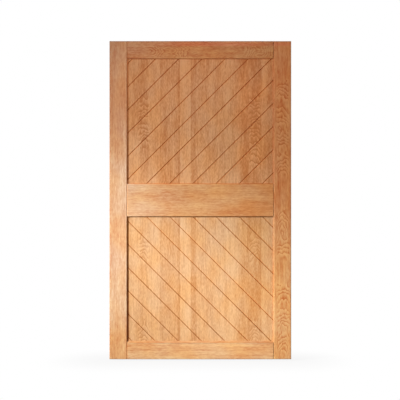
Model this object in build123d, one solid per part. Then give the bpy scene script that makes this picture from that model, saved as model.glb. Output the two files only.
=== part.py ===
from build123d import *

import math
import os

# Barn door leaf in oak: two full-height stiles, three rails between them, and two recessed panels
# whose diagonal V-grooves meet the middle rail as mirror images of each other.
# Millimetres. +X runs to the right of the front, +Y to the back, +Z up.
# The origin is the middle of the top edge, where the leaf hangs.

# Overall leaf, 48 by 84 by 1 3/8 inches
DOOR_WIDTH = 1219.0
DOOR_HEIGHT = 2134.0
FRAME_THICKNESS = 35.0

# Frame members
STILE_WIDTH = 118.0
TOP_RAIL_HEIGHT = 118.0
MIDDLE_RAIL_HEIGHT = 220.0
BOTTOM_RAIL_HEIGHT = 122.0
MIDDLE_RAIL_CENTRE = 1067.0  # above the bottom edge
ARRIS = 3.5  # bevel on every edge of the front and back faces, a V wherever two members meet
WEATHERING_HEIGHT = 14.0  # the slope that sheds water from the bottom rail's upper edge
WEATHERING_DEPTH = 8.0

# Housing, the groove round each opening that holds the panels and the rails' stub tenons
PANEL_THICKNESS = 15.0
HOUSING_DEPTH = 12.0
HOUSING_FIT = 0.2  # beside a panel or a tenon, on each face
PANEL_RELIEF = 2.0  # between a panel's edge and the housing's floor

# Diagonal V-grooves in both faces of each panel
V_ANGLE = 45.0  # to the rails
V_PITCH = 110.0  # square across the grooves
V_WIDTH = 6.0
V_DEPTH = 3.2
V_FIRST = 130.0  # along the middle rail, from the left stile to the first groove

# Slot along the bottom edge for a floor guide
GUIDE_WIDTH = 11.0
GUIDE_DEPTH = 20.0

# How far a cutter stands clear of what it cuts
OVERCUT = 1.0

# Places that follow from the sizes above
DOOR_LEFT, DOOR_RIGHT = -DOOR_WIDTH / 2, DOOR_WIDTH / 2
OPENING_LEFT, OPENING_RIGHT = DOOR_LEFT + STILE_WIDTH, DOOR_RIGHT - STILE_WIDTH
DOOR_TOP, DOOR_BOTTOM = 0.0, -DOOR_HEIGHT
UPPER_OPENING_TOP = DOOR_TOP - TOP_RAIL_HEIGHT
UPPER_OPENING_BOTTOM = DOOR_BOTTOM + MIDDLE_RAIL_CENTRE + MIDDLE_RAIL_HEIGHT / 2
LOWER_OPENING_TOP = UPPER_OPENING_BOTTOM - MIDDLE_RAIL_HEIGHT
LOWER_OPENING_BOTTOM = DOOR_BOTTOM + BOTTOM_RAIL_HEIGHT
HOUSING_WIDTH = PANEL_THICKNESS + 2 * HOUSING_FIT
PANEL_ENTRY = HOUSING_DEPTH - PANEL_RELIEF


def block(left, right, bottom, top, thickness):
    """A plain block, centred in the leaf's thickness."""
    middle = Pos((left + right) / 2, 0, (bottom + top) / 2)
    return middle * Box(right - left, thickness, top - bottom)


def frame_member(left, right, bottom, top):
    """A planed frame member with the arrises of its front and back faces bevelled."""
    planed = block(left, right, bottom, top, FRAME_THICKNESS)
    faces = planed.faces().sort_by(Axis.Y)
    return chamfer(faces[0].edges() + faces[-1].edges(), ARRIS)


def guide_slot():
    """The cutter for the floor guide's slot, right across the leaf."""
    return block(
        DOOR_LEFT - OVERCUT,
        DOOR_RIGHT + OVERCUT,
        DOOR_BOTTOM - OVERCUT,
        DOOR_BOTTOM + GUIDE_DEPTH,
        GUIDE_WIDTH,
    )


def left_stile():
    """The left stile, with a housing down its whole inner edge."""
    housing = block(
        OPENING_LEFT - HOUSING_DEPTH,
        OPENING_LEFT + OVERCUT,
        DOOR_BOTTOM - OVERCUT,
        DOOR_TOP + OVERCUT,
        HOUSING_WIDTH,
    )
    return frame_member(DOOR_LEFT, OPENING_LEFT, DOOR_BOTTOM, DOOR_TOP) - housing - guide_slot()


def rail(bottom, top, tenon_bottom, tenon_top):
    """A rail between the stiles, with a stub tenon at each end that fills the stile's housing."""
    tenons = block(
        OPENING_LEFT - HOUSING_DEPTH,
        OPENING_RIGHT + HOUSING_DEPTH,
        tenon_bottom,
        tenon_top,
        PANEL_THICKNESS,
    )
    return frame_member(OPENING_LEFT, OPENING_RIGHT, bottom, top) + tenons


def rail_housing(bottom, top):
    """The cutter for the housing along one edge of a rail."""
    return block(OPENING_LEFT - OVERCUT, OPENING_RIGHT + OVERCUT, bottom, top, HOUSING_WIDTH)


def top_rail():
    """The top rail, housed along its lower edge."""
    housing_top = UPPER_OPENING_TOP + HOUSING_DEPTH
    planed = rail(UPPER_OPENING_TOP, DOOR_TOP, housing_top, DOOR_TOP)
    return planed - rail_housing(UPPER_OPENING_TOP - OVERCUT, housing_top)


def middle_rail():
    """The middle rail, housed along both edges."""
    upper_floor = UPPER_OPENING_BOTTOM - HOUSING_DEPTH
    lower_floor = LOWER_OPENING_TOP + HOUSING_DEPTH
    planed = rail(LOWER_OPENING_TOP, UPPER_OPENING_BOTTOM, lower_floor, upper_floor)
    upper_housing = rail_housing(upper_floor, UPPER_OPENING_BOTTOM + OVERCUT)
    lower_housing = rail_housing(LOWER_OPENING_TOP - OVERCUT, lower_floor)
    return planed - upper_housing - lower_housing


def weathering_cutter():
    """The cutter for the slope on the front of the bottom rail's upper edge."""
    front, top = -FRAME_THICKNESS / 2, LOWER_OPENING_BOTTOM
    outline = Polygon(
        (front, top - WEATHERING_HEIGHT),
        (front + WEATHERING_DEPTH, top),
        (front, top),
        align=None,
    )
    start = Plane(origin=(OPENING_LEFT - OVERCUT, 0, 0), x_dir=(0, 1, 0), z_dir=(1, 0, 0))
    return extrude(start * outline, OPENING_RIGHT - OPENING_LEFT + 2 * OVERCUT)


def bottom_rail():
    """The bottom rail, housed and weathered along its upper edge, slotted below for the floor guide."""
    housing_floor = LOWER_OPENING_BOTTOM - HOUSING_DEPTH
    tenon_bottom = DOOR_BOTTOM + GUIDE_DEPTH
    planed = rail(DOOR_BOTTOM, LOWER_OPENING_BOTTOM, tenon_bottom, housing_floor)
    housing = rail_housing(housing_floor, LOWER_OPENING_BOTTOM + OVERCUT)
    slope = weathering_cutter()
    return planed - housing - guide_slot() - slope - mirror(slope, about=Plane.XZ)


def v_cutter(left, right, foot, rail_edge, rise):
    """The cutter for one V-groove in a panel's front face, from the panel's left edge to its right.

    foot is where the groove meets the middle rail's edge, and rise is 1 up to the right or -1 down.
    """
    angle = math.radians(V_ANGLE)
    along = Vector(math.cos(angle), 0, rise * math.sin(angle))
    across = Vector(-rise * math.sin(angle), 0, math.cos(angle))
    height = rail_edge + rise * (left - foot) * math.tan(angle)
    start = Plane(origin=(left, -PANEL_THICKNESS / 2, height), x_dir=across, z_dir=along)
    half_mouth = V_WIDTH / 2 * (1 + OVERCUT / V_DEPTH)
    profile = Polygon((0, -V_DEPTH), (half_mouth, OVERCUT), (-half_mouth, OVERCUT), align=None)
    return extrude(start * profile, (right - left) / math.cos(angle))


def grooved_panel(bottom, top, rail_edge, rise):
    """A panel let into its housings, with the diagonal V-grooves cut in both faces.

    bottom and top are the opening's, and rail_edge is the edge that it shares with the middle rail.
    """
    left, right = OPENING_LEFT - PANEL_ENTRY, OPENING_RIGHT + PANEL_ENTRY
    low, high = bottom - PANEL_ENTRY, top + PANEL_ENTRY
    panel = block(left, right, low, high, PANEL_THICKNESS)

    # The feet of the first and last grooves that cross the panel
    slope = math.tan(math.radians(V_ANGLE))
    foot_step = V_PITCH / math.sin(math.radians(V_ANGLE))
    first_foot = OPENING_LEFT + V_FIRST
    corner_feet = [x - rise * (z - rail_edge) / slope for x in (left, right) for z in (low, high)]
    first = math.ceil((min(corner_feet) - first_foot) / foot_step)
    last = math.floor((max(corner_feet) - first_foot) / foot_step)

    grooves = [
        v_cutter(left - V_WIDTH, right + V_WIDTH, first_foot + n * foot_step, rail_edge, rise)
        for n in range(first, last + 1)
    ]
    return panel - grooves - [mirror(groove, about=Plane.XZ) for groove in grooves]


def upper_panel():
    """The upper panel, whose grooves rise to the right from the middle rail."""
    return grooved_panel(UPPER_OPENING_BOTTOM, UPPER_OPENING_TOP, UPPER_OPENING_BOTTOM, 1)


def lower_panel():
    """The lower panel, whose grooves fall to the right from the middle rail."""
    return grooved_panel(LOWER_OPENING_BOTTOM, LOWER_OPENING_TOP, LOWER_OPENING_TOP, -1)


stile = left_stile()
pieces = {
    "left_stile": stile,
    "right_stile": mirror(stile, about=Plane.YZ),
    "top_rail": top_rail(),
    "middle_rail": middle_rail(),
    "bottom_rail": bottom_rail(),
    "upper_panel": upper_panel(),
    "lower_panel": lower_panel(),
}

os.makedirs("parts", exist_ok=True)
for name, piece in pieces.items():
    export_step(piece, f"parts/{name}.step")
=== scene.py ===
"""Looks of the barn door leaf: satin oak on its frame and grooved panels, in a plain white studio.

Metres, in the part's own frame: +X to the right of the front, +Y to the back, +Z up, with the origin at
the middle of the top edge.
"""

import logging
import math
from collections.abc import Sequence
from dataclasses import dataclass
from enum import Enum

import bpy
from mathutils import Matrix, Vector


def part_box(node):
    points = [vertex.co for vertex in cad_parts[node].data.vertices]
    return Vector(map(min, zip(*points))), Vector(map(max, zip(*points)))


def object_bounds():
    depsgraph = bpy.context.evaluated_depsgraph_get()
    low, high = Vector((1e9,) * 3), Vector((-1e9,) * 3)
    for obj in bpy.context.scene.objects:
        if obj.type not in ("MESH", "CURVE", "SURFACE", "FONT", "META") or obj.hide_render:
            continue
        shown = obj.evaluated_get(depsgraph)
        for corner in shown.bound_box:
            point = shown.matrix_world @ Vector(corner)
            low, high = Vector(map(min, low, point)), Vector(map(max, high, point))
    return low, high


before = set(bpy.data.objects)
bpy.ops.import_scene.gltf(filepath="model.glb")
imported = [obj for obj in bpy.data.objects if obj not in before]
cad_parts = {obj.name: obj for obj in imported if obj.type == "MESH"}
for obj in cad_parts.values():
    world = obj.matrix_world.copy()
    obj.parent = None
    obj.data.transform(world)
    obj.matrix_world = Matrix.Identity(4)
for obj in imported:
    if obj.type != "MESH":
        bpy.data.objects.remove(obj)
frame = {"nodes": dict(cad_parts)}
CAD_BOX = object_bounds()

LOG = logging.getLogger("barn_door")

Socket = bpy.types.NodeSocket
Colour = tuple[float, float, float]
Point = tuple[float, float, float]

WHITE = (1.0, 1.0, 1.0, 1.0)
NOISE_MEAN = 0.5
RING_MEAN = 0.4
RING_FADE = 1.6  # the power by which a ring pales outwards
FULL_SHARE = 0.3  # of a soft mask's reach, over which it is full


class GrainRun(Enum):
    """The way that the grain runs in a member."""

    UPRIGHT = "upright"
    LEVEL = "level"


class LampKind(Enum):
    """The studio's kinds of lamp, under Blender's names for them."""

    SOFTBOX = "AREA"
    SPOT = "SPOT"


class NodeGraph:
    """Adds nodes to one shader node tree and wires them."""

    def __init__(self, tree: bpy.types.NodeTree) -> None:
        """Takes the tree that the nodes go into."""
        self.tree = tree

    def node(self, kind: str, **settings: object) -> bpy.types.Node:
        """Adds a node.

        Args:
            kind: Blender's name for the node type.
            settings: properties to set on it.

        Returns:
            The new node.
        """
        made = self.tree.nodes.new(kind)
        for name, value in settings.items():
            setattr(made, name, value)
        return made

    def feed(self, socket: Socket, value: Socket | float | Sequence[float]) -> None:
        """Gives an input its value.

        Args:
            socket: the input.
            value: another socket, which is wired to it, or a value of its own.
        """
        if isinstance(value, bpy.types.NodeSocket):
            self.tree.links.new(value, socket)
        else:
            socket.default_value = value

    def math(self, operation: str, *operands: Socket | float) -> Socket:
        """Adds a Math node.

        Args:
            operation: Blender's name for the operation.
            operands: sockets or numbers, in the node's order.

        Returns:
            The result.
        """
        made = self.node("ShaderNodeMath", operation=operation)
        for socket, value in zip(made.inputs, operands):
            self.feed(socket, value)
        return made.outputs[0]

    def distance(self, value: Socket, place: float) -> Socket:
        """Gives how far a value is from a place, on either side."""
        return self.math("ABSOLUTE", self.math("SUBTRACT", value, place))

    def ease(self, value: Socket, low: float, high: float) -> Socket:
        """Adds a smooth step.

        Args:
            value: what is mapped.
            low: the value that gives 0.
            high: the value that gives 1.

        Returns:
            The eased value, from 0 to 1.
        """
        made = self.node("ShaderNodeMapRange", interpolation_type="SMOOTHSTEP")
        self.feed(made.inputs["Value"], value)
        made.inputs["From Min"].default_value = low
        made.inputs["From Max"].default_value = high
        return made.outputs["Result"]

    def mix(
        self,
        blend: str,
        factor: Socket | float,
        first: Socket | Sequence[float],
        second: Socket | Sequence[float],
    ) -> Socket:
        """Mixes two colours.

        Args:
            blend: Blender's name for the blend type.
            factor: how much of the second colour, or of the blend, shows.
            first: the colour underneath.
            second: the colour on top.

        Returns:
            The mixed colour.
        """
        made = self.node("ShaderNodeMix", data_type="RGBA", blend_type=blend)
        sockets = {socket.identifier: socket for socket in made.inputs}
        self.feed(sockets["Factor_Float"], factor)
        self.feed(sockets["A_Color"], first)
        self.feed(sockets["B_Color"], second)
        return next(s for s in made.outputs if s.identifier == "Result_Color")

    def ramp(self, value: Socket, stops: Sequence[tuple[float, Colour]]) -> Socket:
        """Adds a colour ramp.

        Args:
            value: the place on the ramp.
            stops: places in rising order, each with its colour.

        Returns:
            The colour, blended between the stops.
        """
        start, stop = stops[0][0], stops[-1][0]
        share = self.node("ShaderNodeMapRange")
        self.feed(share.inputs["Value"], value)
        share.inputs["From Min"].default_value = start
        share.inputs["From Max"].default_value = stop
        made = self.node("ShaderNodeValToRGB")
        self.feed(made.inputs["Fac"], share.outputs["Result"])
        elements = made.color_ramp.elements
        while len(elements) < len(stops):
            elements.new(1.0)
        for element, (place, colour) in zip(elements, stops):
            element.position = (place - start) / (stop - start)
            element.color = (*colour, 1.0)
        return made.outputs["Color"]

    def join(self, x: Socket | float, y: Socket | float, z: Socket | float) -> Socket:
        """Makes a vector of three values.

        Args:
            x: the first value.
            y: the second.
            z: the third.

        Returns:
            The vector.
        """
        made = self.node("ShaderNodeCombineXYZ")
        for socket, value in zip(made.inputs, (x, y, z)):
            self.feed(socket, value)
        return made.outputs[0]

    def split(self, vector: Socket) -> tuple[Socket, Socket, Socket]:
        """Takes a vector apart.

        Args:
            vector: what is taken apart.

        Returns:
            Its three values.
        """
        made = self.node("ShaderNodeSeparateXYZ")
        self.feed(made.inputs[0], vector)
        return tuple(made.outputs)

    def stretched_noise(self, grain: Socket, across: float, along: float, detail: float) -> Socket:
        """Adds noise that is drawn out along the grain.

        Args:
            grain: the place in the wood: across the grain, along it, and into it.
            across: the noise's period across the grain, and into the wood.
            along: the noise's period along the grain.
            detail: octaves of finer noise.

        Returns:
            The noise, about 0.5 on average.
        """
        scaled = self.node("ShaderNodeVectorMath", operation="DIVIDE")
        self.feed(scaled.inputs[0], grain)
        scaled.inputs[1].default_value = (across, along, across)
        made = self.node("ShaderNodeTexNoise")
        self.feed(made.inputs["Vector"], scaled.outputs[0])
        made.inputs["Scale"].default_value = 1.0
        made.inputs["Detail"].default_value = detail
        return made.outputs["Fac"]


class EffectGroup(NodeGraph):
    """A shader node group with named inputs and outputs, built once and used by several finishes."""

    def __init__(self, name: str, inputs: dict[str, float | None], outputs: Sequence[str]) -> None:
        """Makes the group's sockets.

        Args:
            name: the group's name.
            inputs: each input's name with its usual value, or None for a vector.
            outputs: the names of the values that it puts out.
        """
        tree = bpy.data.node_groups.new(name, "ShaderNodeTree")
        for label, usual in inputs.items():
            kind = "NodeSocketVector" if usual is None else "NodeSocketFloat"
            socket = tree.interface.new_socket(label, in_out="INPUT", socket_type=kind)
            if usual is not None:
                socket.default_value = usual
        for label in outputs:
            tree.interface.new_socket(label, in_out="OUTPUT", socket_type="NodeSocketFloat")
        super().__init__(tree)
        self.inputs = self.node("NodeGroupInput").outputs
        self.outputs = self.node("NodeGroupOutput").inputs

    def place(self, graph: NodeGraph, **values: Socket | float) -> bpy.types.bpy_prop_collection:
        """Places the group in a material.

        Args:
            graph: the material's node graph.
            values: what goes into the inputs, by their names.

        Returns:
            The outputs, by their names.
        """
        made = graph.node("ShaderNodeGroup", node_tree=self.tree)
        for name, value in values.items():
            graph.feed(made.inputs[name], value)
        return made.outputs


@dataclass(frozen=True)
class Streak:
    """One kind of streak or cloud in the wood, drawn out along the grain."""

    across: float  # its period across the grain, and into the wood
    along: float  # its period along the grain
    detail: float  # octaves of finer noise
    spread: float  # of the noise on each side of its mean, which is stretched to fill 0 to 1


STREAKS = {
    "Pores": Streak(across=0.004, along=0.02, detail=2.0, spread=0.15),
    "Flecks": Streak(across=0.012, along=0.03, detail=1.0, spread=0.15),
    "Fibres": Streak(across=0.011, along=0.12, detail=2.0, spread=0.2),
    "Bands": Streak(across=0.035, along=0.7, detail=2.0, spread=0.2),
}
CLOUDS = {
    "Depth": Streak(across=0.09, along=0.3, detail=1.0, spread=0.25),
    "Warmth": Streak(across=0.11, along=0.2, detail=1.0, spread=0.25),
}


def streak_group(name: str, streaks: dict[str, Streak]) -> EffectGroup:
    """Builds streaks or clouds along the grain.

    Args:
        name: the group's name.
        streaks: what the group puts out, by the outputs' names.

    Returns:
        A group that takes the place in the wood and puts out each streak, about 0.5 on average.
    """
    group = EffectGroup(name, {"Grain": None}, tuple(streaks))
    grain = group.inputs["Grain"]
    for label, streak in streaks.items():
        noise = group.stretched_noise(grain, streak.across, streak.along, streak.detail)
        low, high = NOISE_MEAN - streak.spread, NOISE_MEAN + streak.spread
        group.feed(group.outputs[label], group.ease(noise, low, high))
    return group


def ring_figure() -> EffectGroup:
    """Builds the growth rings of a board, arched into flames where they run out across its face.

    Returns:
        A group that takes the place in the wood and the heart's place, and puts out the rings.
    """
    group = EffectGroup(
        "ring_figure",
        {"Grain": None, "Heart": 0.0, "Behind": 0.03, "Spacing": 0.01, "Jag": 0.012},
        ("Rings",),
    )
    grain = group.inputs["Grain"]
    across, _, inward = group.split(grain)
    aside = group.math("SUBTRACT", across, group.inputs["Heart"])
    behind = group.math("ADD", inward, group.inputs["Behind"])
    squares = group.math("ADD", group.math("POWER", aside, 2.0), group.math("POWER", behind, 2.0))

    # Rings wave and zigzag a little on their way along
    waves = group.stretched_noise(grain, across=0.14, along=0.5, detail=0.0)
    zigzag = group.stretched_noise(grain, across=0.03, along=0.07, detail=1.0)
    shake = group.math("SUBTRACT", group.math("ADD", waves, zigzag), 2 * NOISE_MEAN)
    reach = group.math("MULTIPLY_ADD", shake, group.inputs["Jag"], group.math("SQRT", squares))

    # Each ring is dark at its start and fades outwards
    share = group.math("FRACT", group.math("DIVIDE", reach, group.inputs["Spacing"]))
    rings = group.math("POWER", group.math("SUBTRACT", 1.0, share), RING_FADE)
    group.feed(group.outputs["Rings"], rings)
    return group


def slope_mask() -> EffectGroup:
    """Builds the mask of the narrow slopes between faces: bevelled arrises and the walls of V-grooves.

    Returns:
        A group that puts out 0 on the front, back and edges of a piece, and 1 on the slopes.
    """
    # How squarely a surface faces front or back, from 0 on the edges to 1 on the faces
    face, flattest_slope = 0.97, 0.9
    edge, steepest_slope = 0.1, 0.4

    group = EffectGroup("slope_mask", {}, ("Slope",))
    normal = group.node("ShaderNodeNewGeometry").outputs["True Normal"]
    facing = group.math("ABSOLUTE", group.split(normal)[1])
    off_the_face = group.ease(facing, face, flattest_slope)
    off_the_edge = group.ease(facing, edge, steepest_slope)
    group.feed(group.outputs["Slope"], group.math("MULTIPLY", off_the_face, off_the_edge))
    return group


@dataclass(frozen=True)
class OakEffects:
    """The node groups that every oak finish draws on."""

    rings: EffectGroup
    streaks: EffectGroup
    wander: EffectGroup
    slope: EffectGroup

    @classmethod
    def build(cls) -> "OakEffects":
        """Builds the groups once."""
        streaks = streak_group("grain_streaks", STREAKS)
        return cls(ring_figure(), streaks, streak_group("tone_wander", CLOUDS), slope_mask())


@dataclass(frozen=True)
class Figure:
    """Where the heart of the tree runs behind the face of a board, and how its rings show there."""

    heart: float  # across the grain
    crossings: tuple[float, ...] = ()  # along the grain, where rings run out across the face
    half_width: float = 0.045  # of the flames
    half_crossing: float = 0.10  # half the length of a crossing
    depth: float = 0.03  # of the heart behind the face, before the first crossing
    lift: float = 0.05  # added to the depth over a crossing
    spacing: float = 0.010  # from ring to ring
    jag: float = 0.026  # how far the rings wave and zigzag
    strength: float = 0.75
    full_width: float = 0.6  # of the half width, over which the flames show in full
    full_length: float = 0.7  # of half a crossing, over which they show in full
    whole_length: float = 1.4  # of half a crossing, over which they show at all

    def behind(self, graph: NodeGraph, along: Socket) -> Socket | float:
        """Gives how far the heart is behind the face.

        Args:
            graph: the material's node graph.
            along: the place along the grain.

        Returns:
            The distance, which grows at each crossing.
        """
        distance = self.depth
        for place in self.crossings:
            passed = graph.ease(along, place - self.half_crossing, place + self.half_crossing)
            distance = graph.math("MULTIPLY_ADD", passed, self.lift, distance)
        return distance

    def shown(self, graph: NodeGraph, grain: Socket) -> Socket:
        """Masks the flames.

        Args:
            graph: the material's node graph.
            grain: the place in the wood.

        Returns:
            1 about the heart at each crossing, and 0 elsewhere.
        """
        across, along, _ = graph.split(grain)
        none, full = self.whole_length * self.half_crossing, self.full_length * self.half_crossing
        mask = 0.0
        for place in self.crossings:
            crossed = graph.ease(graph.distance(along, place), none, full)
            mask = graph.math("MAXIMUM", mask, crossed)
        aside = graph.distance(across, self.heart)
        within = graph.ease(aside, self.half_width, self.full_width * self.half_width)
        return graph.math("MULTIPLY", mask, within)


@dataclass(frozen=True)
class TintStop:
    """The colour of the wood as a whole at one place along the grain, with painted light in it: from stop
    to stop the tints paint how the lamps' light falls along the member, over the wood's own colour.
    """

    along: float
    tint: Colour


@dataclass(frozen=True)
class Patch:
    """A part of a board that differs in colour from the rest, with soft edges; some paint the shadow
    beside the frame.
    """

    across: float  # of its middle
    along: float
    half_width: float
    half_length: float
    tint: Colour  # of the wood's colour
    # Painted shadow falls on the front only
    front_only: bool = False

    def shown(self, graph: NodeGraph, grain: Socket) -> Socket:
        """Masks the patch.

        Args:
            graph: the material's node graph.
            grain: the place in the wood.

        Returns:
            1 in the patch, and 0 beside it.
        """
        across, along, inward = graph.split(grain)
        aside = graph.distance(across, self.across)
        onward = graph.distance(along, self.along)
        within = graph.ease(aside, self.half_width, FULL_SHARE * self.half_width)
        beside = graph.ease(onward, self.half_length, FULL_SHARE * self.half_length)
        mask = graph.math("MULTIPLY", within, beside)
        if self.front_only:
            mask = graph.math("MULTIPLY", mask, graph.math("LESS_THAN", inward, 0.0))
        return mask


@dataclass(frozen=True)
class OakFinish:
    """Satin lacquer on oak, with the grain one way."""

    name: str
    run: GrainRun
    wood_and_light_tints: tuple[TintStop, ...]  # in order along the grain, blended between; their change along the member is painted light
    flames: tuple[Figure, ...] = ()
    patches: tuple[Patch, ...] = ()
    plain: Figure = Figure(heart=1.4, spacing=0.016, jag=0.03, strength=0.2)  # far off, so nearly straight
    pale: Colour = (1.15, 1.35, 1.45)  # of the tint, where the wood is palest
    brown: Colour = (0.775, 0.475, 0.325)  # of the tint, where it is darkest
    cool: Colour = (0.99, 1.04, 1.14)  # of the wood's colour, where it is least red
    warm: Colour = (1.01, 0.96, 0.86)  # and where it is reddest
    slope_shade_and_highlight: Colour = (0.95, 0.9, 0.86)  # and on its slopes: painted shade, and on lit slopes painted highlight
    base_depth: float = 0.4  # from pale, 0, to brown, 1
    pore_strength: float = 0.2
    fleck_strength: float = 0.2
    fibre_strength: float = 0.3
    band_strength: float = 0.25
    wander_strength: float = 0.2
    roughness: float = 0.34  # where the wood is pale
    brown_roughness: float = 0.06  # more than that, where it is brown
    gloss: float = 0.25
    grain_bump: float = 0.15
    grain_relief: float = 0.0004  # from pale wood down to brown

    def tint(self, graph: NodeGraph, grain: Socket) -> Socket:
        """Gives the colour of the wood before its grain, blended along it from the stops, with painted
        light in it.
        """
        stops = [(stop.along, stop.tint) for stop in self.wood_and_light_tints]
        return graph.ramp(graph.split(grain)[1], stops)

    def grain(self, graph: NodeGraph) -> Socket:
        """Gives the place in the wood: across the grain, along it, and into it."""
        x, y, z = graph.split(graph.node("ShaderNodeTexCoord").outputs["Object"])
        return graph.join(x, z, y) if self.run is GrainRun.UPRIGHT else graph.join(z, x, y)

    def rings(self, graph: NodeGraph, effects: OakEffects, grain: Socket, figure: Figure) -> Socket:
        """Places one ring figure.

        Args:
            graph: the material's node graph.
            effects: the shared node groups.
            grain: the place in the wood.
            figure: where the heart runs.

        Returns:
            The rings, from pale, about -0.4, to dark, about 0.6, at the figure's strength.
        """
        placed = effects.rings.place(
            graph,
            Grain=grain,
            Heart=figure.heart,
            Behind=figure.behind(graph, graph.split(grain)[1]),
            Spacing=figure.spacing,
            Jag=figure.jag,
        )["Rings"]
        return graph.math("MULTIPLY", graph.math("SUBTRACT", placed, RING_MEAN), figure.strength)

    def figure(self, graph: NodeGraph, effects: OakEffects, grain: Socket) -> Socket:
        """Lays the flames over the straight grain.

        Args:
            graph: the material's node graph.
            effects: the shared node groups.
            grain: the place in the wood.

        Returns:
            How much darker the rings make the wood.
        """
        shown = self.rings(graph, effects, grain, self.plain)
        for flame in self.flames:
            arched = self.rings(graph, effects, grain, flame)
            change = graph.math("SUBTRACT", arched, shown)
            shown = graph.math("MULTIPLY_ADD", flame.shown(graph, grain), change, shown)
        return shown

    def depth(self, graph: NodeGraph, effects: OakEffects, grain: Socket) -> Socket:
        """Adds up what makes the wood darker or paler.

        Args:
            graph: the material's node graph.
            effects: the shared node groups.
            grain: the place in the wood.

        Returns:
            The depth, from pale, 0, to brown, 1.
        """
        streaks = effects.streaks.place(graph, Grain=grain)
        wander = effects.wander.place(graph, Grain=grain)
        depth = graph.math("ADD", self.figure(graph, effects, grain), self.base_depth)
        for value, strength in (
            (streaks["Pores"], self.pore_strength),
            (streaks["Flecks"], self.fleck_strength),
            (streaks["Fibres"], self.fibre_strength),
            (streaks["Bands"], self.band_strength),
            (wander["Depth"], self.wander_strength),
        ):
            change = graph.math("SUBTRACT", value, NOISE_MEAN)
            depth = graph.math("MULTIPLY_ADD", change, strength, depth)
        return depth

    def slopes(self, graph: NodeGraph, effects: OakEffects, grain: Socket) -> Socket:
        """Masks the slopes, where shade is painted, and on lit slopes highlight."""
        return effects.slope.place(graph)["Slope"]

    def colour(self, graph: NodeGraph, effects: OakEffects, grain: Socket, depth: Socket) -> Socket:
        """Gives the colour of the wood, with painted light and shade in it.

        Args:
            graph: the material's node graph.
            effects: the shared node groups.
            grain: the place in the wood.
            depth: the wood's depth there.

        Returns:
            The colour.
        """
        shade = graph.mix("MIX", depth, (*self.pale, 1.0), (*self.brown, 1.0))
        wood = graph.mix("MULTIPLY", 1.0, self.tint(graph, grain), shade)
        warmth = effects.wander.place(graph, Grain=grain)["Warmth"]
        hue = graph.mix("MIX", warmth, (*self.cool, 1.0), (*self.warm, 1.0))
        wood = graph.mix("MULTIPLY", 1.0, wood, hue)
        # Patches, among them painted shadow beside the frame
        for patch in self.patches:
            wood = graph.mix("MULTIPLY", patch.shown(graph, grain), wood, (*patch.tint, 1.0))
        # Painted shade on the slopes, and painted highlight on lit ones
        return graph.mix("MULTIPLY", self.slopes(graph, effects, grain), wood, (*self.slope_shade_and_highlight, 1.0))

    def material(self, effects: OakEffects) -> bpy.types.Material:
        """Builds the material.

        Args:
            effects: the shared node groups.

        Returns:
            The material.
        """
        made = bpy.data.materials.new(self.name)
        made.use_nodes = True
        graph = NodeGraph(made.node_tree)
        shader = made.node_tree.nodes["Principled BSDF"]
        grain = self.grain(graph)
        depth = self.depth(graph, effects, grain)
        roughness = graph.math("MULTIPLY_ADD", depth, self.brown_roughness, self.roughness)
        graph.feed(shader.inputs["Base Color"], self.colour(graph, effects, grain, depth))
        graph.feed(shader.inputs["Roughness"], roughness)
        shader.inputs["Specular IOR Level"].default_value = self.gloss

        bump = graph.node("ShaderNodeBump", invert=True)
        bump.inputs["Strength"].default_value = self.grain_bump
        bump.inputs["Distance"].default_value = self.grain_relief
        graph.feed(bump.inputs["Height"], depth)
        graph.feed(shader.inputs["Normal"], bump.outputs["Normal"])
        return made


@dataclass(frozen=True)
class Opening:
    """An opening in the frame, which a panel fills."""

    left: float
    right: float
    bottom: float
    top: float

    @classmethod
    def between(cls, rail_below: str, rail_above: str) -> "Opening":
        """Finds the opening between the stiles and two rails.

        Args:
            rail_below: the lower rail's node.
            rail_above: the upper rail's node.

        Returns:
            The opening.
        """
        return cls(
            left=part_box("left_stile")[1].x,
            right=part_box("right_stile")[0].x,
            bottom=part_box(rail_below)[1].z,
            top=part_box(rail_above)[0].z,
        )


UPPER_OPENING = Opening.between("middle_rail", "top_rail")
LOWER_OPENING = Opening.between("bottom_rail", "middle_rail")
PANEL_LEFT, PANEL_RIGHT = (corner.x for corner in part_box("upper_panel"))


@dataclass(frozen=True)
class VeneerLeaf:
    """One upright leaf of the panels' veneer, up to the next leaf or the panel's right edge."""

    left: float
    depth: float  # at its left edge
    fades_to: float  # at its right edge


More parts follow.
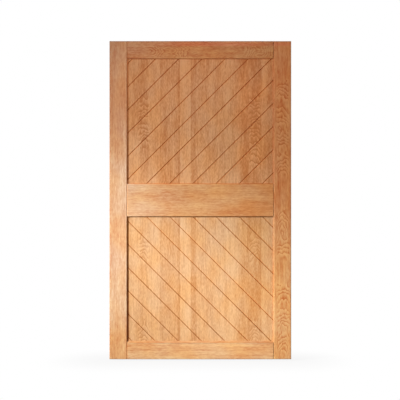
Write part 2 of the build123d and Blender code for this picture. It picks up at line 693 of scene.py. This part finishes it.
@dataclass(frozen=True)
class PanelFinish(OakFinish):
    """Satin lacquer on oak veneer, laid in upright leaves of differing depth."""

    leaves: tuple[VeneerLeaf, ...] = ()
    seam: float = 0.004  # over which one leaf gives way to the next
    opening: Opening = UPPER_OPENING
    rim: float = 0.005  # along the opening's edges, where shade is painted
    rim_drop: float = 0.0  # of the lowest rim, out of sight below a weathered edge
    leaf_strength: float = 1.0
    pale: Colour = (1.15, 1.285, 1.43)
    brown: Colour = (0.775, 0.63, 0.51)
    slope_shade_and_highlight: Colour = (0.76, 0.53, 0.33)  # painted shade in the grooves and along the frame
    pore_strength: float = 0.42
    fleck_strength: float = 0.25

    def depth(self, graph: NodeGraph, effects: OakEffects, grain: Socket) -> Socket:
        """Adds each leaf's own depth to that of the wood.

        Args:
            graph: the material's node graph.
            effects: the shared node groups.
            grain: the place in the wood.

        Returns:
            The depth, from pale, 0, to brown, 1.
        """
        stops = []
        rights = [leaf.left for leaf in self.leaves[1:]] + [PANEL_RIGHT]
        for leaf, right in zip(self.leaves, rights):
            stops.append((leaf.left + self.seam / 2, (leaf.depth,) * 3))
            stops.append((right - self.seam / 2, (leaf.fades_to,) * 3))
        laid = graph.math("SUBTRACT", graph.ramp(graph.split(grain)[0], stops), self.base_depth)
        return graph.math("MULTIPLY_ADD", laid, self.leaf_strength, super().depth(graph, effects, grain))

    def slopes(self, graph: NodeGraph, effects: OakEffects, grain: Socket) -> Socket:
        """Masks the grooves, and the corner along the frame, where shade is painted.

        Args:
            graph: the material's node graph.
            effects: the shared node groups.
            grain: the place in the wood.

        Returns:
            1 in the grooves and the corner, and 0 elsewhere.
        """
        across, along, _ = graph.split(grain)
        aside = graph.math("SUBTRACT", self.opening.right, graph.math("ABSOLUTE", across))
        above = graph.math("SUBTRACT", along, self.opening.bottom - self.rim_drop)
        below = graph.math("SUBTRACT", self.opening.top, along)
        inside = graph.math("MINIMUM", aside, graph.math("MINIMUM", above, below))
        corner = graph.ease(inside, self.rim, FULL_SHARE * self.rim)
        return graph.math("MAXIMUM", corner, super().slopes(graph, effects, grain))


PANEL_LEAVES = (
    VeneerLeaf(PANEL_LEFT, 0.34, 0.34),
    VeneerLeaf(-0.405, 0.52, 0.52),
    VeneerLeaf(-0.350, 0.26, 0.26),
    VeneerLeaf(-0.272, 0.54, 0.56),
    VeneerLeaf(-0.149, 0.86, 0.86),
    VeneerLeaf(-0.136, 0.16, 0.16),
    VeneerLeaf(-0.065, 0.70, 0.70),
    VeneerLeaf(-0.030, 0.44, 0.42),
    VeneerLeaf(0.065, 0.38, 0.30),
    VeneerLeaf(0.175, 0.10, 0.32),
    VeneerLeaf(0.255, 0.48, 0.52),
    VeneerLeaf(0.275, 0.66, 0.78),
    VeneerLeaf(0.410, 0.38, 0.38),
    VeneerLeaf(0.455, 0.56, 0.56),
)

# The hearts of the two trees whose leaves of veneer have flames
LEFT_HEART, RIGHT_HEART = -0.380, 0.366
UPPER_FLAMES = (
    Figure(LEFT_HEART, (-0.62, -0.47), depth=0.09, strength=0.95),
    Figure(RIGHT_HEART, (-0.74, -0.58, -0.45), depth=0.09, strength=0.95),
)
LOWER_FLAMES = tuple(Figure(heart, (-1.97, -1.39), strength=0.7) for heart in (LEFT_HEART, RIGHT_HEART))
RIGHT_STILE_FLAMES = tuple(
    Figure(heart, crossings, half_width=0.05, half_crossing=0.08, lift=0.04, strength=0.9)
    for heart, crossings in (
        (0.556, (-2.03, -1.86, -1.70, -1.39)),
        (0.552, (-1.22, -0.83, -0.655, -0.505, -0.33)),
    )
)
TOP_RAIL_FLAMES = (Figure(-0.070, (-0.285, -0.13, 0.34, 0.45), half_crossing=0.06, strength=0.8),)

FINISHES = {
    "left_stile": OakFinish(
        "left_stile_oak",
        GrainRun.UPRIGHT,
        # Paler at -1.70 and -0.85: a painted sheen on the stile
        (
            TintStop(-2.00, (0.71, 0.36, 0.148)),
            TintStop(-1.70, (0.71, 0.455, 0.27)),
            TintStop(-1.15, (0.65, 0.37, 0.2)),
            TintStop(-0.85, (0.73, 0.43, 0.245)),
            TintStop(-0.50, (0.658, 0.289, 0.132)),
        ),
        # Browner slopes: painted shade on the stile's shaded bevels
        slope_shade_and_highlight=(0.92, 0.82, 0.72),
        fibre_strength=0.2,
        band_strength=0.15,
    ),
    "right_stile": OakFinish(
        "right_stile_oak",
        GrainRun.UPRIGHT,
        (TintStop(-1.50, (0.63, 0.296, 0.11)), TintStop(-0.90, (0.675, 0.253, 0.086))),
        RIGHT_STILE_FLAMES,
        (Patch(0.55, -0.02, 0.1, 0.018, (1.04, 0.87, 1.0)),),
        # Paler, less red slopes: painted highlight on the inner bevel that faces the key lamps
        slope_shade_and_highlight=(0.9, 1.08, 1.3),
    ),
    "top_rail": OakFinish(
        "top_rail_oak",
        GrainRun.LEVEL,
        (TintStop(-0.49, (0.60, 0.24, 0.10)), TintStop(-0.20, (0.545, 0.205, 0.066))),
        TOP_RAIL_FLAMES,
        (Patch(-0.020, 0.12, 0.02, 0.55, (1.18, 1.02, 1.24)),),
        pore_strength=0.4,
    ),
    "middle_rail": OakFinish(
        "middle_rail_oak",
        GrainRun.LEVEL,
        (
            TintStop(-0.49, (0.635, 0.355, 0.191)),
            TintStop(-0.10, (0.60, 0.304, 0.126)),
            TintStop(0.49, (0.623, 0.254, 0.087)),
        ),
        # Paler slopes: painted light, lifting the shade on the rail's end bevels
        slope_shade_and_highlight=(1.15, 1.1, 1.02),
        fibre_strength=0.2,
        band_strength=0.15,
        wander_strength=0.3,
    ),
    "bottom_rail": OakFinish(
        "bottom_rail_oak",
        GrainRun.LEVEL,
        (TintStop(-0.49, (0.74, 0.414, 0.188)), TintStop(0.49, (0.675, 0.353, 0.152))),
        # Slopes darker and browner: painted shade on the joint bevels; the patch eases it along the
        # weathered upper edge
        patches=(Patch(-2.020, 0.0, 0.016, 2.0, (0.87, 0.95, 1.12)),),
        slope_shade_and_highlight=(0.85, 0.7, 0.55),
        fibre_strength=0.25,
    ),
    "upper_panel": PanelFinish(
        "upper_panel_oak",
        GrainRun.UPRIGHT,
        (TintStop(-0.90, (0.625, 0.288, 0.118)), TintStop(-0.25, (0.613, 0.251, 0.093))),
        UPPER_FLAMES,
        (
            Patch(0.36, -0.6, 0.17, 0.6, (1.16, 1.08, 0.97)),
            # Along the left edge, front only: painted shadow beside the left stile
            Patch(UPPER_OPENING.left, -0.5, 0.018, 1.5, (1.15, 0.95, 0.75), front_only=True),
        ),
        leaves=PANEL_LEAVES,
        opening=UPPER_OPENING,
        wander_strength=0.3,
    ),
    "lower_panel": PanelFinish(
        "lower_panel_oak",
        GrainRun.UPRIGHT,
        (TintStop(-2.00, (0.672, 0.357, 0.155)), TintStop(-1.20, (0.615, 0.33, 0.151))),
        LOWER_FLAMES,
        (
            Patch(0.36, -1.5, 0.17, 0.8, (1.03, 0.99, 0.9)),
            # Along the left edge, front only: painted shadow beside the left stile, deepening towards the
            # foot
            Patch(LOWER_OPENING.left, -1.6, 0.018, 1.5, (1.15, 0.85, 0.45), front_only=True),
            Patch(LOWER_OPENING.left, -2.05, 0.016, 0.85, (0.58, 0.36, 0.2), front_only=True),
        ),
        leaves=PANEL_LEAVES,
        opening=LOWER_OPENING,
        rim_drop=0.006,
        leaf_strength=0.75,
        pore_strength=0.4,
        fleck_strength=0.12,
        wander_strength=0.12,
        band_strength=0.15,
    ),
}


@dataclass
class Leaf:
    """The door leaf: stiles, rails and grooved panels, as the CAD shapes them."""

    nodes: dict[str, bpy.types.Object]
    easing: float = 0.0008  # radius on the sharp edges
    easing_steps: int = 2
    sharp: float = 25.0  # the least angle of a sharp edge, in degrees
    flat: float = 1.0  # the most that two triangles of one flat face turn, in degrees
    weld: float = 0.00001  # between points that are one

    def ease_edges(self, piece: bpy.types.Object) -> None:
        """Eases a piece's sharp edges with modifiers, inside its own outline.

        Args:
            piece: the piece.
        """
        piece.modifiers.new("weld", "WELD").merge_threshold = self.weld
        flat = piece.modifiers.new("flat_faces", "DECIMATE")
        flat.decimate_type = "DISSOLVE"
        flat.angle_limit = math.radians(self.flat)
        easing = piece.modifiers.new("eased_edges", "BEVEL")
        easing.width = self.easing
        easing.segments = self.easing_steps
        easing.limit_method = "ANGLE"
        easing.angle_limit = math.radians(self.sharp)
        easing.harden_normals = True

    def dress(self, finishes: dict[str, OakFinish], effects: OakEffects) -> None:
        """Gives each piece its finish.

        Args:
            finishes: the finish of each node.
            effects: the shared node groups.
        """
        for name, piece in self.nodes.items():
            made = finishes[name].material(effects)
            piece.data.materials.clear()
            piece.data.materials.append(made)
            self.ease_edges(piece)
            LOG.info("%s: %s", name, made.name)


@dataclass(frozen=True)
class Lamp:
    """One lamp of the studio."""

    name: str
    kind: LampKind
    place: Point
    aim: Point
    power: float  # in watts
    size: float  # across a softbox, or a spot's radius
    cone: float = 60.0  # a spot's whole angle, in degrees
    blend: float = 1.0  # how soft the edge of a spot's cone is

    def light(self) -> None:
        """Adds the lamp to the scene."""
        data = bpy.data.lights.new(self.name, self.kind.value)
        data.energy = self.power
        if self.kind is LampKind.SOFTBOX:
            data.size = self.size
        else:
            data.shadow_soft_size = self.size
            data.spot_size = math.radians(self.cone)
            data.spot_blend = self.blend
        made = bpy.data.objects.new(self.name, data)
        made.location = self.place
        sight = Vector(self.aim) - Vector(self.place)
        made.rotation_euler = sight.to_track_quat("-Z", "Y").to_euler()
        made.visible_camera = False
        made.visible_glossy = False
        bpy.context.scene.collection.objects.link(made)


@dataclass
class Studio:
    """A white studio with a pale floor, soft lamps and a camera square on to the leaf."""

    low: Vector
    high: Vector
    lamps: tuple[Lamp, ...]
    camera_distance: float = 6.0
    picture_width: float = 2.682  # that the picture takes in at the leaf's front face
    sight_right: float = -0.0023  # of the picture's middle from the leaf's
    sight_up: float = 0.0012
    floor_gap: float = 0.012  # under the hanging leaf
    floor_reach: float = 30.0
    floor_paint: float = 0.3  # how much light the floor throws back
    floor_white: float = 0.9  # share of plain white in what a camera sees of the floor under the leaf
    floor_fade: float = 0.5  # from the leaf to where the floor is all white
    ambient: float = 0.05  # the world's light, where its white is 1

    def background_ray(self, graph: NodeGraph) -> Socket:
        """Tells which rays see the background as white.

        Args:
            graph: the node graph of the floor or the world.

        Returns:
            1 for rays from the camera, mirrored ones and those through glass, and 0 for the rest.
        """
        path = graph.node("ShaderNodeLightPath")
        seen = graph.math("MAXIMUM", path.outputs["Is Camera Ray"], path.outputs["Is Glossy Ray"])
        return graph.math("MAXIMUM", seen, path.outputs["Is Transmission Ray"])

    def hang_world(self) -> None:
        """Surrounds the leaf with white that gives only a little light."""
        world = bpy.data.worlds.new("white_studio")
        world.use_nodes = True
        graph = NodeGraph(world.node_tree)
        background = world.node_tree.nodes["Background"]
        background.inputs["Color"].default_value = WHITE
        seen = self.background_ray(graph)
        strength = graph.math("MULTIPLY_ADD", seen, 1.0 - self.ambient, self.ambient)
        graph.feed(background.inputs["Strength"], strength)
        bpy.context.scene.world = world

    def floor_finish(self) -> bpy.types.Material:
        """Builds the floor's finish: matt paint that the camera sees as nearly white.

        Returns:
            The material.
        """
        made = bpy.data.materials.new("pale_floor")
        made.use_nodes = True
        nodes = made.node_tree.nodes
        nodes.remove(nodes["Principled BSDF"])
        graph = NodeGraph(made.node_tree)
        paint = graph.node("ShaderNodeBsdfDiffuse")
        paint.inputs["Color"].default_value = (self.floor_paint, self.floor_paint, self.floor_paint, 1.0)
        white = graph.node("ShaderNodeEmission")

        # The floor is all white away from the leaf, and keeps a little of its shadow near it
        x, y, _ = graph.split(graph.node("ShaderNodeTexCoord").outputs["Object"])
        past_the_leaf = graph.math("SUBTRACT", graph.math("ABSOLUTE", x), self.high.x)
        beside = graph.math("MAXIMUM", past_the_leaf, 0.0)
        away = graph.node("ShaderNodeVectorMath", operation="LENGTH")
        graph.feed(away.inputs[0], graph.join(beside, y, 0.0))
        beyond = graph.ease(away.outputs["Value"], 0.0, self.floor_fade)
        share = graph.math("MULTIPLY_ADD", beyond, 1.0 - self.floor_white, self.floor_white)

        blend = graph.node("ShaderNodeMixShader")
        graph.feed(blend.inputs[0], graph.math("MULTIPLY", self.background_ray(graph), share))
        graph.feed(blend.inputs[1], paint.outputs[0])
        graph.feed(blend.inputs[2], white.outputs[0])
        graph.feed(nodes["Material Output"].inputs["Surface"], blend.outputs[0])
        return made

    def lay_floor(self) -> None:
        """Lays the floor under the leaf."""
        level, reach = self.low.z - self.floor_gap, self.floor_reach
        plan = ((-reach, -reach), (reach, -reach), (reach, reach), (-reach, reach))
        mesh = bpy.data.meshes.new("studio_floor")
        mesh.from_pydata([(x, y, level) for x, y in plan], [], [(0, 1, 2, 3)])
        mesh.materials.append(self.floor_finish())
        floor = bpy.data.objects.new("studio_floor", mesh)
        bpy.context.scene.collection.objects.link(floor)

    def set_camera(self) -> None:
        """Sets the camera square on to the leaf's front."""
        data = bpy.data.cameras.new("front_camera")
        data.lens = data.sensor_width * self.camera_distance / self.picture_width
        camera = bpy.data.objects.new("front_camera", data)
        middle = (self.low + self.high) / 2
        camera.location = (
            middle.x + self.sight_right,
            self.low.y - self.camera_distance,
            middle.z + self.sight_up,
        )
        camera.rotation_euler = (math.radians(90.0), 0.0, 0.0)
        bpy.context.scene.collection.objects.link(camera)
        bpy.context.scene.camera = camera

    def build(self) -> None:
        """Sets up the world, floor, lamps and camera."""
        bpy.context.scene.view_settings.view_transform = "Standard"
        self.hang_world()
        self.lay_floor()
        for lamp in self.lamps:
            lamp.light()
            LOG.info("lamp %s", lamp.name)
        self.set_camera()


KEY_STAND = (-3.0, -1.75, 0.1)
KEY_RADIUS = 0.3
LAMPS = (
    Lamp("key_low", LampKind.SPOT, KEY_STAND, (0.9, 0.0, -2.6), 1085.0, KEY_RADIUS, 44.0),
    Lamp("key_narrow", LampKind.SPOT, KEY_STAND, (0.9, 0.0, -2.2), 492.0, KEY_RADIUS, 20.0),
    Lamp("key_high", LampKind.SPOT, KEY_STAND, (0.9, 0.0, -1.0), 361.0, KEY_RADIUS, 44.0),
    Lamp("front_softbox", LampKind.SOFTBOX, (0.0, -1.0, 0.0), (0.0, 0.0, 0.0), 6.5, 1.2),
    Lamp("back_softbox", LampKind.SOFTBOX, (0.0, 3.6, -0.9), (0.0, 0.0, -1.0), 110.0, 2.4),
    Lamp("edge_softbox", LampKind.SOFTBOX, (2.9, 1.9, -0.9), (0.6, 0.0, -1.0), 45.0, 1.6),
)


def main() -> None:
    """Dresses the leaf and sets up the studio."""
    logging.basicConfig(level=logging.INFO, format="%(name)s: %(message)s")
    effects = OakEffects.build()
    Leaf(frame["nodes"]).dress(FINISHES, effects)
    Studio(*CAD_BOX, LAMPS).build()


if __name__ == "__main__":
    main()
